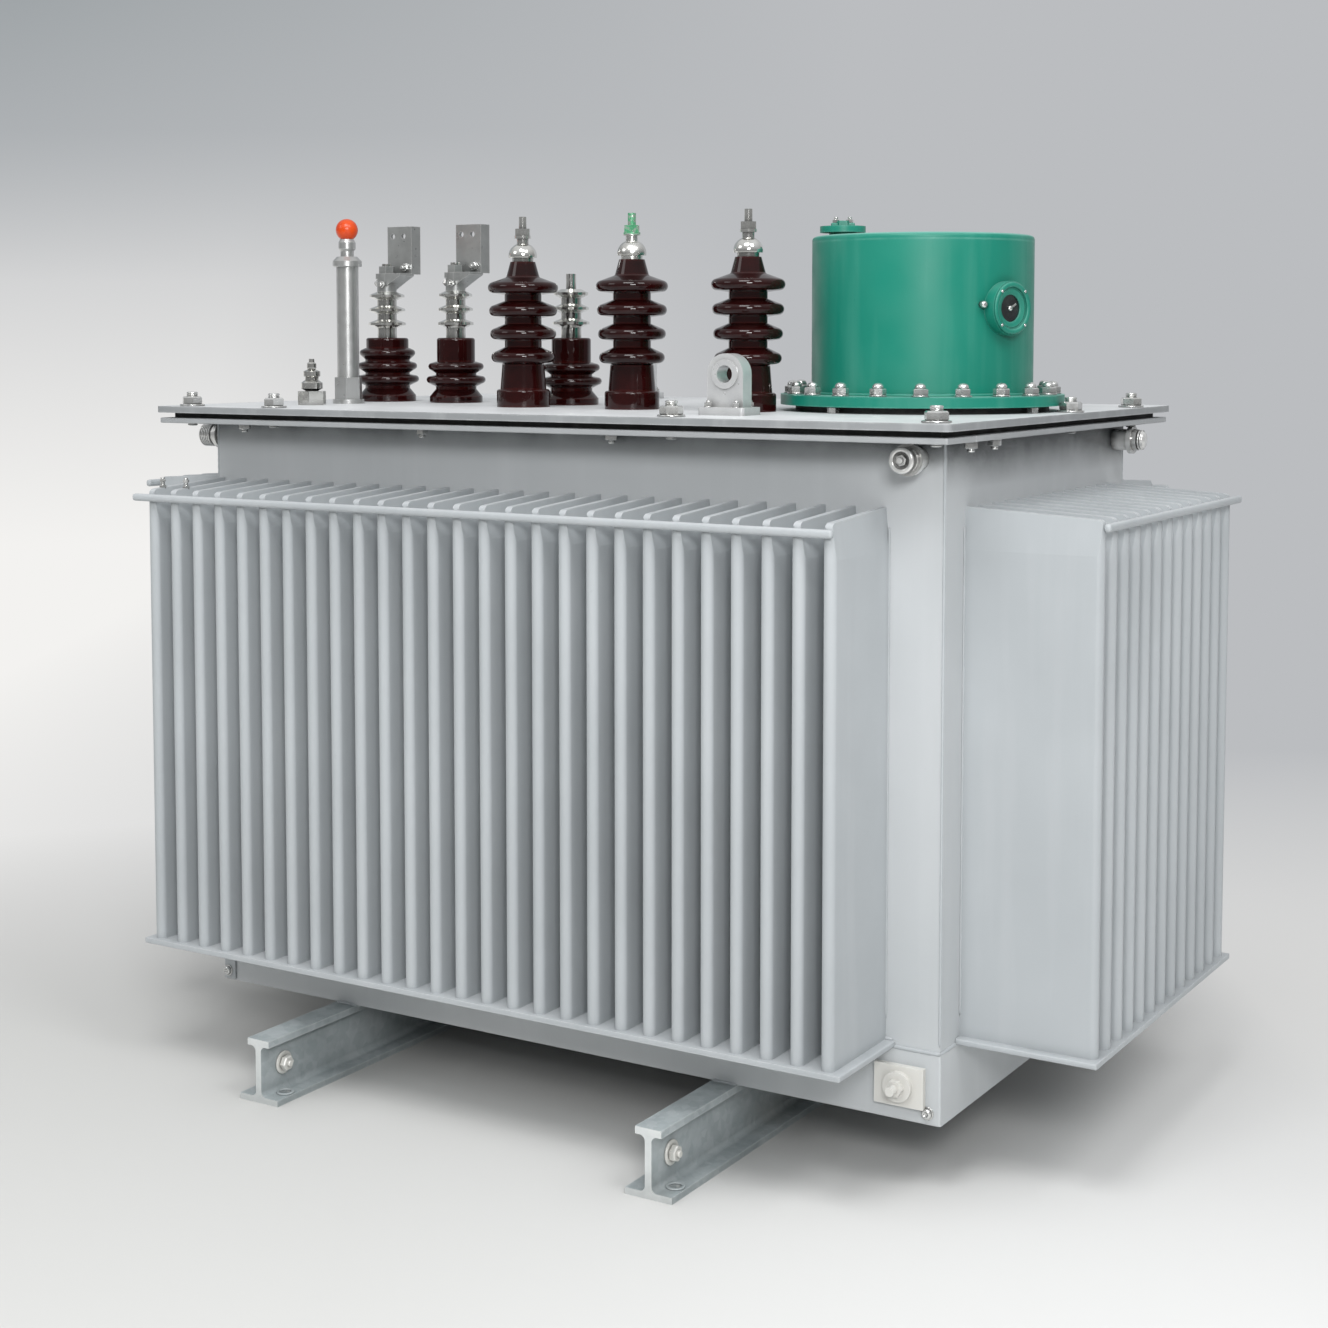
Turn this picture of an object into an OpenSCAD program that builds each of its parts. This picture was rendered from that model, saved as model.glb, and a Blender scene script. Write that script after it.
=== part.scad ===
// Oil filled power transformer in a finned tank, standing on two rails.
// Sizes are in millimetres. X runs along the tank, the front faces -Y and Z is up.
// The origin lies on the ground under the middle of the tank.

/* [Tank] */
// Length of the tank along X
tank_l = 1240; // [1200:10:1340]
// Width of the tank along Y
tank_w = 668; // [650:2:760]
// Thickness of the tank walls
wall_t = 6; // [4:1:10]
// Height of the plain pan under the fins
pan_h = 96; // [80:2:120]
// How far the pan stands out past the walls
pan_step = 2; // [1:0.5:4]
// Height of the walls above the pan
wall_h = 795; // [640:5:950]
// Thickness of the pan floor
floor_t = 8; // [5:1:12]

/* [Rails] */
// Height of a rail
rail_h = 94; // [80:2:120]
// Length of a rail along Y
rail_l = 1070; // [1060:10:1200]
// Distance between the two rails
rail_gauge = 670; // [600:10:760]
// How far the pair of rails sits off the middle along X
rail_shift = -35; // [-50:5:50]
// Width of the rail foot
foot_w = 72; // [66:1:90]
// Thickness of the rail foot
foot_t = 9; // [6:1:12]
// Width of the rail head
head_w = 40; // [34:1:60]
// Thickness of the rail head
head_t = 10; // [7:1:14]
// Thickness of the rail web
web_t = 10; // [7:1:14]
// Radius between web and foot or head
rail_fillet = 8; // [4:1:10]
// Diameter of the bolt holes in the foot
foot_hole_d = 16; // [12:1:18]
// Distance of a foot hole from the middle of the web
foot_hole_side = 21; // [19:1:23]
// Distance of a foot hole from the rail end
foot_hole_inset = 34; // [25:1:50]

/* [Fins] */
// Distance between neighbouring fins
fin_pitch = 44; // [40:0.5:44.5]
// Thickness of a fin
fin_t = 18; // [12:1:20]
// Fins in a bank on a long side
long_fin_count = 27; // [15:1:27]
// Depth of the fins on a long side
long_fin_d = 157; // [120:1:170]
// Distance of the first long fin from the tank corner
long_fin_inset = 10; // [10:1:20]
// Fins in a bank on an end
end_fin_count = 13; // [7:1:13]
// Depth of the fins on an end
end_fin_d = 188; // [140:1:220]
// Height of plain wall left between the fins and the rim
fin_gap = 87; // [60:1:120]
// How much higher a fin is at its root
fin_rise = 10; // [4:1:16]
// Radius of the top corner of a fin tip
fin_corner_r = 10; // [6:1:14]
// Height over which a fin narrows to its top edge
pinch_h = 56; // [20:2:80]
// Thickness of a fin at its top edge
pinch_t = 8; // [3:0.5:10]

/* [Fin plates and bars] */
// Thickness of the plate under each fin bank
ledge_t = 8; // [5:1:12]
// How far the plate stands out past the fin tips
ledge_lip = 6; // [2:1:10]
// How far the plate runs past the outer fins
ledge_end = 14; // [5:1:20]
// Height of the bar across the fin tips
bar_h = 11; // [8:1:16]
// Depth of the bar across the fin tips
bar_d = 10; // [6:1:14]
// How far the bar on a long side sits below the fin tops
bar_drop = 7; // [4:1:40]
// How far the bar on an end sits below the fin tops
end_bar_drop = 4; // [4:1:40]
// How far the bar runs past the outer fins
bar_end = 22; // [5:1:30]

/* [Rim and cover] */
// How far the rim stands out past the tank ends
rim_x = 40; // [34:1:60]
// How far the rim stands out past the long sides
rim_y = 85; // [70:1:100]
// Thickness of the rim
rim_t = 8; // [6:1:14]
// Thickness of the cover gasket
gasket_t = 8; // [5:1:12]
// Distance of the gasket from the rim edge
gasket_inset = 16; // [10:1:22]
// Width of the gasket
gasket_w = 26; // [16:1:36]
// How far the cover stands out past the rim
cover_lip = 5; // [0:1:10]
// Thickness of the cover
cover_t = 10; // [8:1:16]
// Radius of the cover corners
cover_r = 10; // [5:1:25]

/* [High voltage bushings] */
// Distance of the middle bushing from the right end of the cover
hv_end = 625; // [620:1:640]
// Distance between the bushings
hv_pitch = 196; // [170:2:206]
// Row of the bushings along Y
hv_y = -160; // [-190:2:-156]
// Radius of the foot
hv_foot_r = 40.5; // [37:0.5:43]
// Height of the foot
hv_foot_h = 27; // [20:1:36]
// Radius of the plain barrel at its bottom
hv_barrel_r = 35; // [32:0.5:36]
// How much the plain barrel narrows to its top
hv_barrel_taper = 3; // [0:0.5:3.5]
// Height of the plain barrel
hv_barrel_h = 38; // [28:1:50]
// Radius between the sheds
hv_core_r = 28; // [26:0.5:30]
// Number of sheds
hv_shed_count = 4; // [3:1:6]
// Radius of the lowest shed
hv_shed_r = 48.5; // [44:0.5:50]
// How much wider each shed is than the one below it
hv_shed_grow = 1.6; // [0:0.1:2]
// Distance between the sheds
hv_shed_pitch = 35; // [30:1:42]
// Radius of the round shed rim
hv_rim_r = 8.5; // [5:0.5:10]
// Radius of the neck at its top
hv_neck_r = 19; // [18:0.5:22]
// Height of the neck
hv_neck_h = 24; // [16:1:34]
// Radius of the cap
hv_cap_r = 21.5; // [20:0.5:26]
// Height of the cap
hv_cap_h = 22; // [18:1:24]
// Height of the neck between cap and nut
hv_pin_h = 7; // [4:1:12]
// Distance across the corners of the nut
hv_nut_d = 25; // [20:1:32]
// Height of the nut with its washers
hv_nut_h = 15; // [10:1:20]
// Diameter of the terminal stud
hv_stud_d = 12; // [8:1:16]
// Free length of the terminal stud
hv_stud_l = 18; // [14:1:30]

/* [Low voltage bushings] */
// Distance of the first bushing from the left end of the cover
lv_end = 145; // [135:1:155]
// Distance from the first to the second bushing
lv_pitch = 142; // [130:2:160]
// Distance from the second bushing to the neutral bushing
lv_neutral_pitch = 226; // [200:2:258]
// Row of the bushings along Y
lv_y = -35; // [-40:1:20]
// Radius of the foot
lv_foot_r = 43; // [38:0.5:46]
// Height of the flared foot
lv_foot_h = 22; // [18:1:24]
// Radius between the sheds
lv_core_r = 33; // [32.5:0.5:35]
// Radius of the lowest shed
lv_shed_r = 48; // [44:0.5:50]
// How much narrower each shed is than the one below it
lv_shed_less = 3; // [0:0.5:4]
// Height of the lowest shed
lv_shed_z = 37; // [36:1:40]
// Distance between the sheds
lv_shed_pitch = 21.5; // [20:0.5:24]
// Radius of the plain barrel
lv_barrel_r = 31; // [28:0.5:32]
// Height of the porcelain
lv_h = 105; // [100:1:130]
// How much wider the first bushing is all round
lv_first_wide = 4; // [0:0.5:5]
// Radius of the conductor stack
lv_stack_r = 16; // [13:0.5:18]
// Radius of the clamping rings
lv_ring_r = 29; // [24:0.5:32]
// Distance between the clamping rings
lv_ring_pitch = 23; // [18:1:28]
// Number of clamping rings
lv_ring_count = 3; // [2:1:4]
// Diameter of the terminal stud
lv_stud_d = 16; // [12:1:18]
// Length of the stud where it carries a flag
lv_stud_l = 46; // [44:1:60]
// Length of the free stud on the neutral bushing
lv_free_l = 24; // [16:1:30]

/* [Terminal flags] */
// Width of a flag
flag_w = 50; // [44:1:60]
// Height of a flag
flag_h = 78; // [60:1:100]
// Thickness of the flag plate
flag_t = 6; // [4:0.5:8]
// Height of the clamp under a flag
clamp_h = 30; // [24:1:31]
// Thickness of the arm between clamp and flag
arm_t = 9; // [7:0.5:12]
// Depth of the side fold
flag_fold = 24; // [16:1:30]
// How far the flag stands behind the stud
flag_back = 18; // [16:1:24]
// How far the flag is set to the right of the stud
flag_side = 13; // [8:1:18]
// Diameter of the cable holes
flag_hole_d = 9; // [7:0.5:12]
// Distance between the cable holes
flag_hole_pitch = 22; // [18:1:26]
// Distance of the cable holes from the top of the flag
flag_hole_top = 16; // [12:1:24]

/* [Cover fittings] */
// Distance of the filler pipe from the left end of the cover
pipe_end = 175; // [150:1:195]
// Filler pipe along Y
pipe_y = -172; // [-180:2:-160]
// Distance across the corners of the hexagonal foot of the filler pipe
pipe_foot = 46; // [44:1:54]
// Height of the hexagonal foot
pipe_foot_h = 42; // [30:1:60]
// Radius of the filler pipe
pipe_r = 17.5; // [14:0.5:20]
// Height of the filler pipe up to its collar
pipe_h = 218; // [150:2:260]
// Radius of the pipe collar
pipe_collar_r = 23; // [21:0.5:28]
// Radius of the neck above the collar
pipe_neck_r = 13.5; // [11:0.5:16]
// Radius of the float ball
ball_r = 17.5; // [16:0.5:24]
// Distance of the relief valve from the left end of the cover
valve_end = 171; // [145:1:215]
// Relief valve along Y
valve_y = -256; // [-290:2:-250]
// Radius of the relief valve base
valve_r = 23; // [19:0.5:26]
// Height of the relief valve
valve_h = 72; // [60:1:90]
// Distance of the front lifting lug from the right end of the cover
lug_front_end = 380; // [345:1:405]
// Distance of the back lifting lug from the left end of the cover
lug_back_end = 430; // [405:1:465]
// Distance of the lifting lugs from the long cover edges
lug_edge = 124; // [110:1:136]
// Width of a lifting lug
lug_w = 56; // [50:1:66]
// Height of a lifting lug
lug_h = 84; // [76:1:110]
// Thickness of a lifting lug
lug_t = 24; // [20:1:32]
// Diameter of the lifting hole
lug_hole_d = 24; // [20:1:30]
// How far the boss round the lifting hole stands out
lug_boss_t = 2; // [1:0.5:4]
// Length of the lug foot
lug_foot_l = 72; // [66:1:110]
// Width of the lug foot
lug_foot_w = 52; // [40:1:56]
// Thickness of the lug foot
lug_foot_t = 11; // [8:1:14]

/* [Oil drum] */
// Distance of the drum axis from the right end of the cover
drum_end = 240; // [235:1:245]
// Drum axis along Y
drum_y = 20; // [14:1:40]
// Outer radius of the drum
drum_r = 160; // [152:1:168]
// Height of the drum shell
drum_h = 218; // [190:2:300]
// Wall of the drum
drum_wall = 4; // [3:1:8]
// Outer radius of the drum flange
drum_flange_r = 205; // [195:1:208]
// Thickness of the drum flange
drum_flange_t = 15; // [10:1:20]
// Height of the gasket under the drum flange
drum_seat_h = 9; // [5:1:14]
// Thickness of the drum top
drum_top_t = 9; // [8:1:14]
// Radius of the top edge
drum_edge_r = 6; // [3:0.5:7]
// Distance of the filler cap from the drum axis
cap_off = 116; // [90:1:122]
// Direction of the filler cap around the drum
cap_angle = 211; // [180:1:270]
// Radius of the filler cap
cap_r = 33; // [28:0.5:36]
// Height of the filler cap neck
cap_neck_h = 6; // [5:1:20]
// Thickness of the filler cap lid
cap_t = 9; // [6:1:14]
// Direction of the oil gauge around the drum
gauge_angle = -20; // [-40:1:20]
// Height of the oil gauge above the drum flange
gauge_h = 122; // [90:1:156]
// Outer radius of the oil gauge
gauge_r = 38; // [33:0.5:44]
// How far the oil gauge stands out of the drum
gauge_d = 14; // [12:1:24]
// Radius of the oil gauge glass
gauge_glass_r = 27; // [22:0.5:29]

/* [Wall fittings] */
// Distance of a lashing boss from the tank corner
boss_inset = 38; // [30:1:60]
// Radius of a lashing boss
boss_r = 16; // [13:0.5:18]
// Length of a lashing boss
boss_l = 38; // [26:1:60]
// Radius of the disc at the end of a lashing boss
boss_disc_r = 21; // [18.5:0.5:22.5]
// Distance of the lashing bosses below the rim
boss_drop = 23; // [23:1:40]
// Distance of the earth plate from the right end of the tank
earth_inset = 54; // [46:1:80]
// Width of the earth plate
earth_w = 70; // [60:1:84]
// Height of the earth plate
earth_h = 54; // [46:1:70]
// Thickness of the earth plate
earth_t = 8; // [5:1:12]
// Radius of the boss on the earth plate
earth_boss_r = 20; // [16:0.5:22]
// Length of the boss on the earth plate
earth_boss_l = 7; // [5:1:20]
// Diameter of the earth stud
earth_stud_d = 12; // [8:1:16]
// Free length of the earth stud
earth_stud_l = 12; // [8:1:24]

/* [Hidden] */
$fn = 64;
// Play between a round piece and the round seat it goes into
play = 0.3;

// Heights of the stacked pieces
pan_z = rail_h;
wall_z = pan_z + pan_h;
fin_z = wall_z + ledge_t;
fin_h = wall_h - ledge_t - fin_rise - fin_gap;
rim_z = wall_z + wall_h;
gasket_z = rim_z + rim_t;
plate_z = gasket_z + gasket_t;
cover_z = plate_z + cover_t;

// Sides of the tank and the rails
side_x = tank_l / 2;
side_y = tank_w / 2;
rail_xs = [rail_shift - rail_gauge / 2, rail_shift + rail_gauge / 2];

// Fin banks, measured from the tank middle
long_first = -side_x + long_fin_inset;
long_last = long_first + (long_fin_count - 1) * fin_pitch;
end_first = -(end_fin_count - 1) * fin_pitch / 2;
end_last = -end_first;
bar_z = fin_z + fin_h - bar_drop - bar_h;
end_bar_z = fin_z + fin_h - end_bar_drop - bar_h;

// Rim and cover outlines
rim_l = tank_l + 2 * rim_x;
rim_w = tank_w + 2 * rim_y;
gasket_l = rim_l - 2 * gasket_inset;
gasket_y = rim_w - 2 * gasket_inset;
cover_l = rim_l + 2 * cover_lip;
cover_w = rim_w + 2 * cover_lip;
lug_y = cover_w / 2 - lug_edge;

// Fittings on the cover, measured from its ends
cover_right = cover_l / 2;
cover_left = -cover_right;
hv_x = cover_right - hv_end;
drum_x = cover_right - drum_end;
lug_front_x = cover_right - lug_front_end;
lug_back_x = cover_left + lug_back_end;
lv_x = cover_left + lv_end;
lv_neutral_x = lv_x + lv_pitch + lv_neutral_pitch;
pipe_x = cover_left + pipe_end;
valve_x = cover_left + valve_end;

// High voltage bushing heights above the cover
hv_xs = [hv_x - hv_pitch, hv_x, hv_x + hv_pitch];
hv_shed_under = 11;
hv_shed_over = 15;
hv_shed_z = hv_foot_h + hv_barrel_h + hv_shed_under;
hv_top_shed_z = hv_shed_z + (hv_shed_count - 1) * hv_shed_pitch;
hv_neck_z = hv_top_shed_z + hv_shed_over;
hv_top_z = hv_neck_z + hv_neck_h;
hv_ring_r = hv_neck_r - 3;
hv_ring_h = 6;

// Low voltage bushing heights above the cover
lv_xs = [lv_x, lv_x + lv_pitch, lv_neutral_x];
lv_shed_counts = [3, 2, 2];
lv_wides = [lv_first_wide, 0, 0];
lv_rim_r = 6;
lv_shed_under = 11;
lv_shed_over = 8;
lv_ring_z = lv_h + 23;
lv_ring_half = 7;
lv_seat_z = lv_ring_z + (lv_ring_count - 1) * lv_ring_pitch + lv_ring_half;
lv_nut_d = lv_stud_d * 1.7;

// Drum heights above the cover
drum_flange_z = drum_seat_h;
drum_shell_z = drum_flange_z + drum_flange_t;
drum_top_z = drum_shell_z + drum_h;
drum_bore_r = drum_r - drum_wall;
drum_seat_r = drum_flange_r - 22;

// Colours of the pieces
paint = [0.72, 0.74, 0.75];
zinc = [0.66, 0.69, 0.70];
green = [0.08, 0.42, 0.35];
porcelain = [0.20, 0.07, 0.08];
steel = [0.75, 0.76, 0.76];
black = [0.10, 0.10, 0.10];
orange = [0.85, 0.30, 0.10];
cream = [0.82, 0.81, 0.77];

// Point where a line from p touches the circle at c, above it (side 1) or below it (side -1)
function touch(p, c, r, side) =
  let (d = p - c, a = atan2(d[1], d[0]), b = acos(r / norm(d)))
  c + r * [cos(a - side * b), sin(a - side * b)];

// Half profile of one shed: a sloping skirt with a round rim
module shed(core, tip, z, rim, under, over) {
  c = [tip - rim, z];
  low = [core, z - under];
  high = [core, z + over];
  polygon([
    [0, z - under], low, touch(low, c, rim, -1), c, touch(high, c, rim, 1), high, [0, z + over]
  ]);
  translate(c)
    circle(r = rim);
}

// Flat plate with round corners, standing on z = 0
module round_plate(l, w, r, t) {
  linear_extrude(t) {
    square([l - 2 * r, w], center = true);
    square([l, w - 2 * r], center = true);
    for (sx = [-1, 1], sy = [-1, 1])
      translate([sx * (l / 2 - r), sy * (w / 2 - r)])
        circle(r = r);
  }
}

// Hexagon across the corners d, standing on z = 0
module hex(d, h) {
  cylinder(d = d, h = h, $fn = 6);
}

// Rails

module fillet_corner() {
  difference() {
    square(rail_fillet);
    translate([rail_fillet, rail_fillet])
      circle(r = rail_fillet);
  }
}

module rail_outline() {
  translate([-foot_w / 2, 0])
    square([foot_w, foot_t]);
  translate([-web_t / 2, 0])
    square([web_t, rail_h]);
  translate([-head_w / 2, rail_h - head_t])
    square([head_w, head_t]);
  for (s = [0, 1])
    mirror([s, 0]) {
      translate([web_t / 2, foot_t])
        fillet_corner();
      translate([web_t / 2, rail_h - head_t])
        mirror([0, 1])
          fillet_corner();
    }
}

module rail(i) {
  color(zinc)
    translate([rail_xs[i], 0, 0])
      difference() {
        translate([0, rail_l / 2, 0])
          rotate([90, 0, 0])
            linear_extrude(rail_l)
              rail_outline();
        for (s = [-1, 1])
          translate([foot_hole_side, s * (rail_l / 2 - foot_hole_inset), -1])
            cylinder(d = foot_hole_d, h = foot_t + 2);
      }
}

// Tank

module base_pan() {
  color(paint)
    translate([0, 0, pan_z])
      difference() {
        translate([-side_x - pan_step, -side_y - pan_step, 0])
          cube([tank_l + 2 * pan_step, tank_w + 2 * pan_step, pan_h]);
        translate([-side_x + wall_t, -side_y + wall_t, floor_t])
          cube([tank_l - 2 * wall_t, tank_w - 2 * wall_t, pan_h]);
      }
}

module long_wall() {
  color(paint)
    translate([-side_x, -side_y, wall_z])
      cube([tank_l, wall_t, wall_h]);
}

module end_wall() {
  color(paint)
    translate([side_x - wall_t, -side_y + wall_t, wall_z])
      cube([wall_t, tank_w - 2 * wall_t, wall_h]);
}

// Fins: each is a folded blade with a round nose, pressed narrower at the top

module fin_plan(depth) {
  translate([-fin_t / 2, -depth + fin_t / 2])
    square([fin_t, depth - fin_t / 2]);
  translate([0, -depth + fin_t / 2])
    circle(d = fin_t);
}

module fin_front_view() {
  top = fin_h + fin_rise;
  polygon([
    [-fin_t / 2, 0], [fin_t / 2, 0], [fin_t / 2, top - pinch_h],
    [pinch_t / 2, top], [-pinch_t / 2, top], [-fin_t / 2, top - pinch_h]
  ]);
}

module fin_side_view(depth) {
  slope = atan2(fin_rise, depth);
  nose = depth - fin_corner_r;
  nose_z = fin_h + fin_rise * fin_corner_r / depth - fin_corner_r / cos(slope);
  polygon([
    [0, 0], [depth, 0], [depth, nose_z], [nose, nose_z],
    [nose + fin_corner_r * sin(slope), nose_z + fin_corner_r * cos(slope)], [0, fin_h + fin_rise]
  ]);
  translate([nose, nose_z])
    circle(r = fin_corner_r);
}

module fin(depth) {
  intersection() {
    linear_extrude(fin_h + fin_rise)
      fin_plan(depth);
    translate([0, 1, 0])
      rotate([90, 0, 0])
        linear_extrude(depth + 2)
          fin_front_view();
    translate([fin_t, 0, 0])
      rotate([0, 0, -90])
        rotate([90, 0, 0])
          linear_extrude(2 * fin_t)
            fin_side_view(depth);
  }
}

module long_fins() {
  color(paint)
    for (i = [0 : long_fin_count - 1])
      translate([long_first + i * fin_pitch, -side_y, fin_z])
        fin(long_fin_d);
}

module end_fins() {
  color(paint)
    for (i = [0 : end_fin_count - 1])
      translate([side_x, end_first + i * fin_pitch, fin_z])
        rotate([0, 0, 90])
          fin(end_fin_d);
}

// Plates under the fins and bars across the fin tips

module long_ledge() {
  translate([long_first - fin_t / 2 - ledge_end, -side_y - long_fin_d - ledge_lip, wall_z])
    cube([long_last - long_first + fin_t + 2 * ledge_end, long_fin_d + ledge_lip, ledge_t]);
}

module end_ledge() {
  translate([side_x, end_first - fin_t / 2 - ledge_end, wall_z])
    cube([end_fin_d + ledge_lip, end_last - end_first + fin_t + 2 * ledge_end, ledge_t]);
}

module fin_ledges() {
  color(paint)
    for (a = [0, 180])
      rotate([0, 0, a]) {
        long_ledge();
        end_ledge();
      }
}

module long_bar() {
  translate([long_first - fin_t / 2 - bar_end, -side_y - long_fin_d - bar_d, bar_z])
    cube([long_last - long_first + fin_t + bar_end, bar_d, bar_h]);
}

module end_bar() {
  translate([side_x + end_fin_d, end_first - fin_t / 2, end_bar_z])
    cube([bar_d, end_last - end_first + fin_t + bar_end, bar_h]);
}

module tie_bars() {
  color(paint)
    for (a = [0, 180])
      rotate([0, 0, a]) {
        long_bar();
        end_bar();
      }
}

// Rim, gasket and cover

module rim_long_bars() {
  color(paint)
    for (a = [0, 180])
      rotate([0, 0, a])
        translate([-rim_l / 2, -rim_w / 2, rim_z])
          cube([rim_l, rim_y + wall_t, rim_t]);
}

module rim_end_bars() {
  color(paint)
    for (a = [0, 180])
      rotate([0, 0, a])
        translate([side_x - wall_t, -side_y + wall_t, rim_z])
          cube([rim_x + wall_t, tank_w - 2 * wall_t, rim_t]);
}

module cover_gasket() {
  color(black)
    translate([0, 0, gasket_z])
      linear_extrude(gasket_t)
        difference() {
          square([gasket_l, gasket_y], center = true);
          square([gasket_l - 2 * gasket_w, gasket_y - 2 * gasket_w], center = true);
        }
}

module cover_plate() {
  color(paint)
    translate([0, 0, plate_z])
      round_plate(cover_l, cover_w, cover_r, cover_t);
}

// High voltage bushings

module hv_porcelain(i) {
  soft = 4;
  color(porcelain)
    translate([hv_xs[i], hv_y, cover_z])
      rotate_extrude() {
        square([hv_foot_r, hv_foot_h - soft]);
        square([hv_foot_r - soft, hv_foot_h]);
        translate([hv_foot_r - soft, hv_foot_h - soft])
          circle(r = soft);
        polygon([
          [0, 0], [hv_barrel_r, 0], [hv_barrel_r, hv_foot_h],
          [hv_barrel_r - hv_barrel_taper, hv_foot_h + hv_barrel_h], [0, hv_foot_h + hv_barrel_h]
        ]);
        square([hv_core_r, hv_neck_z]);
        for (k = [0 : hv_shed_count - 1])
          shed(
            hv_core_r,
            hv_shed_r + k * hv_shed_grow,
            hv_shed_z + k * hv_shed_pitch,
            hv_rim_r, hv_shed_under, hv_shed_over
          );
        polygon([
          [0, hv_neck_z - 1], [hv_core_r, hv_neck_z - 1], [hv_core_r - 3, hv_neck_z + 2],
          [hv_neck_r, hv_top_z], [0, hv_top_z]
        ]);
      }
}

module hv_terminal(i) {
  rim = 3;
  dome = hv_cap_h - rim;
  top = hv_ring_h + hv_cap_h;
  washer_h = hv_nut_h * 0.3;
  nut_z = top + hv_pin_h;
  color(steel)
    translate([hv_xs[i], hv_y, cover_z + hv_top_z]) {
      rotate_extrude() {
        square([hv_ring_r, hv_ring_h + 1]);
        intersection() {
          translate([0, hv_ring_h])
            square([hv_cap_r, hv_cap_h]);
          union() {
            translate([0, hv_ring_h])
              square([hv_cap_r - dome, hv_cap_h]);
            translate([hv_cap_r - dome, hv_ring_h + rim])
              circle(r = dome);
          }
        }
        square([hv_nut_d * 0.36, nut_z]);
        translate([0, nut_z])
          square([hv_nut_d / 2, washer_h]);
        square([hv_stud_d / 2, nut_z + hv_nut_h + hv_stud_l]);
      }
      translate([0, 0, nut_z])
        hex(hv_nut_d, hv_nut_h);
    }
}

// Low voltage bushings

module lv_porcelain(i) {
  soft = 4;
  wide = lv_wides[i];
  last = lv_shed_counts[i] - 1;
  foot_r = lv_foot_r + wide;
  core_r = lv_core_r + wide;
  barrel_r = lv_barrel_r + wide;
  color(porcelain)
    translate([lv_xs[i], lv_y, cover_z])
      rotate_extrude() {
        polygon([
          [0, 0], [foot_r - 1, 0], [foot_r, 1], [foot_r, lv_foot_h * 0.45],
          [core_r, lv_foot_h], [0, lv_foot_h]
        ]);
        square([core_r, lv_shed_z + last * lv_shed_pitch]);
        for (k = [0 : last])
          shed(
            core_r,
            lv_shed_r + wide - k * lv_shed_less,
            lv_shed_z + k * lv_shed_pitch,
            lv_rim_r, lv_shed_under, lv_shed_over
          );
        square([barrel_r, lv_h - soft]);
        square([barrel_r - soft, lv_h]);
        translate([barrel_r - soft, lv_h - soft])
          circle(r = soft);
      }
}

module lv_terminal(i, free) {
  lip = 2;
  ring_r = lv_ring_r + lv_wides[i] / 2;
  color(steel)
    translate([lv_xs[i], lv_y, cover_z])
      rotate_extrude() {
        translate([0, lv_h])
          square([lv_stack_r, lv_seat_z - lv_h]);
        for (k = [0 : lv_ring_count - 1])
          translate([0, lv_ring_z + k * lv_ring_pitch])
            polygon([
              [0, -lv_ring_half], [lv_stack_r, -lv_ring_half], [ring_r - k, -lip], [ring_r - k, lip],
              [lv_stack_r, lv_ring_half], [0, lv_ring_half]
            ]);
        translate([0, lv_seat_z])
          square([lv_stud_d / 2, free]);
      }
}

// Folded flag on a clamp that goes over the stud of a low voltage terminal

module lv_flag(i) {
  left = flag_side - flag_w / 2;
  right = flag_side + flag_w / 2;
  clamp_r = lv_stack_r;
  arm_w = 2 * clamp_r - 4;
  arm_z = clamp_h - arm_t;
  nut_h = 12;
  hole_x = flag_side - flag_t / 2;
  hole_z = clamp_h + flag_h - flag_hole_top;
  color(steel)
    translate([lv_xs[i], lv_y, cover_z + lv_seat_z])
      difference() {
        union() {
          cylinder(r = clamp_r, h = clamp_h);
          translate([0, flag_back + flag_t, 0])
            rotate([90, 0, 0])
              linear_extrude(flag_back + flag_t + arm_w / 2)
                polygon([
                  [0, 3], [right - 9, arm_z], [right, arm_z + 5], [right, clamp_h], [left, clamp_h],
                  [left, arm_z], [0, arm_z]
                ]);
          translate([left, flag_back, clamp_h - 1])
            cube([flag_w, flag_t, flag_h + 1]);
          translate([right - flag_t, flag_back, clamp_h - 1])
            cube([flag_t, flag_fold, flag_h + 1]);
          hex(lv_nut_d, clamp_h + nut_h);
        }
        translate([0, 0, -1])
          cylinder(r = lv_stud_d / 2 + play, h = clamp_h + nut_h + 2);
        for (s = [-1, 1])
          translate([hole_x + s * flag_hole_pitch / 2, flag_back - 1, hole_z])
            rotate([-90, 0, 0])
              cylinder(d = flag_hole_d, h = flag_t + 2);
      }
}

// Filler pipe with its float ball, and relief valve

pipe_collar_h = 16;
pipe_neck_h = 28;
ball_seat = 3;

module filler_pipe() {
  bevel = 7;
  waist_r = pipe_neck_r - 3;
  neck_z = pipe_h + pipe_collar_h;
  color(steel)
    translate([pipe_x, pipe_y, cover_z]) {
      hex(pipe_foot, pipe_foot_h);
      cylinder(r = pipe_foot / 2 + 2, h = 7);
      rotate_extrude() {
        square([pipe_r, pipe_h]);
        translate([0, pipe_h])
          polygon([
            [0, 0], [pipe_collar_r - 1, 0], [pipe_collar_r, 1], [pipe_collar_r, pipe_collar_h - bevel],
            [pipe_collar_r - bevel, pipe_collar_h], [0, pipe_collar_h]
          ]);
        translate([0, neck_z])
          polygon([
            [0, 0], [waist_r, 0], [waist_r, pipe_neck_h * 0.3], [pipe_neck_r, pipe_neck_h * 0.45],
            [pipe_neck_r, pipe_neck_h * 0.8], [waist_r, pipe_neck_h], [0, pipe_neck_h]
          ]);
      }
    }
}

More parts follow.
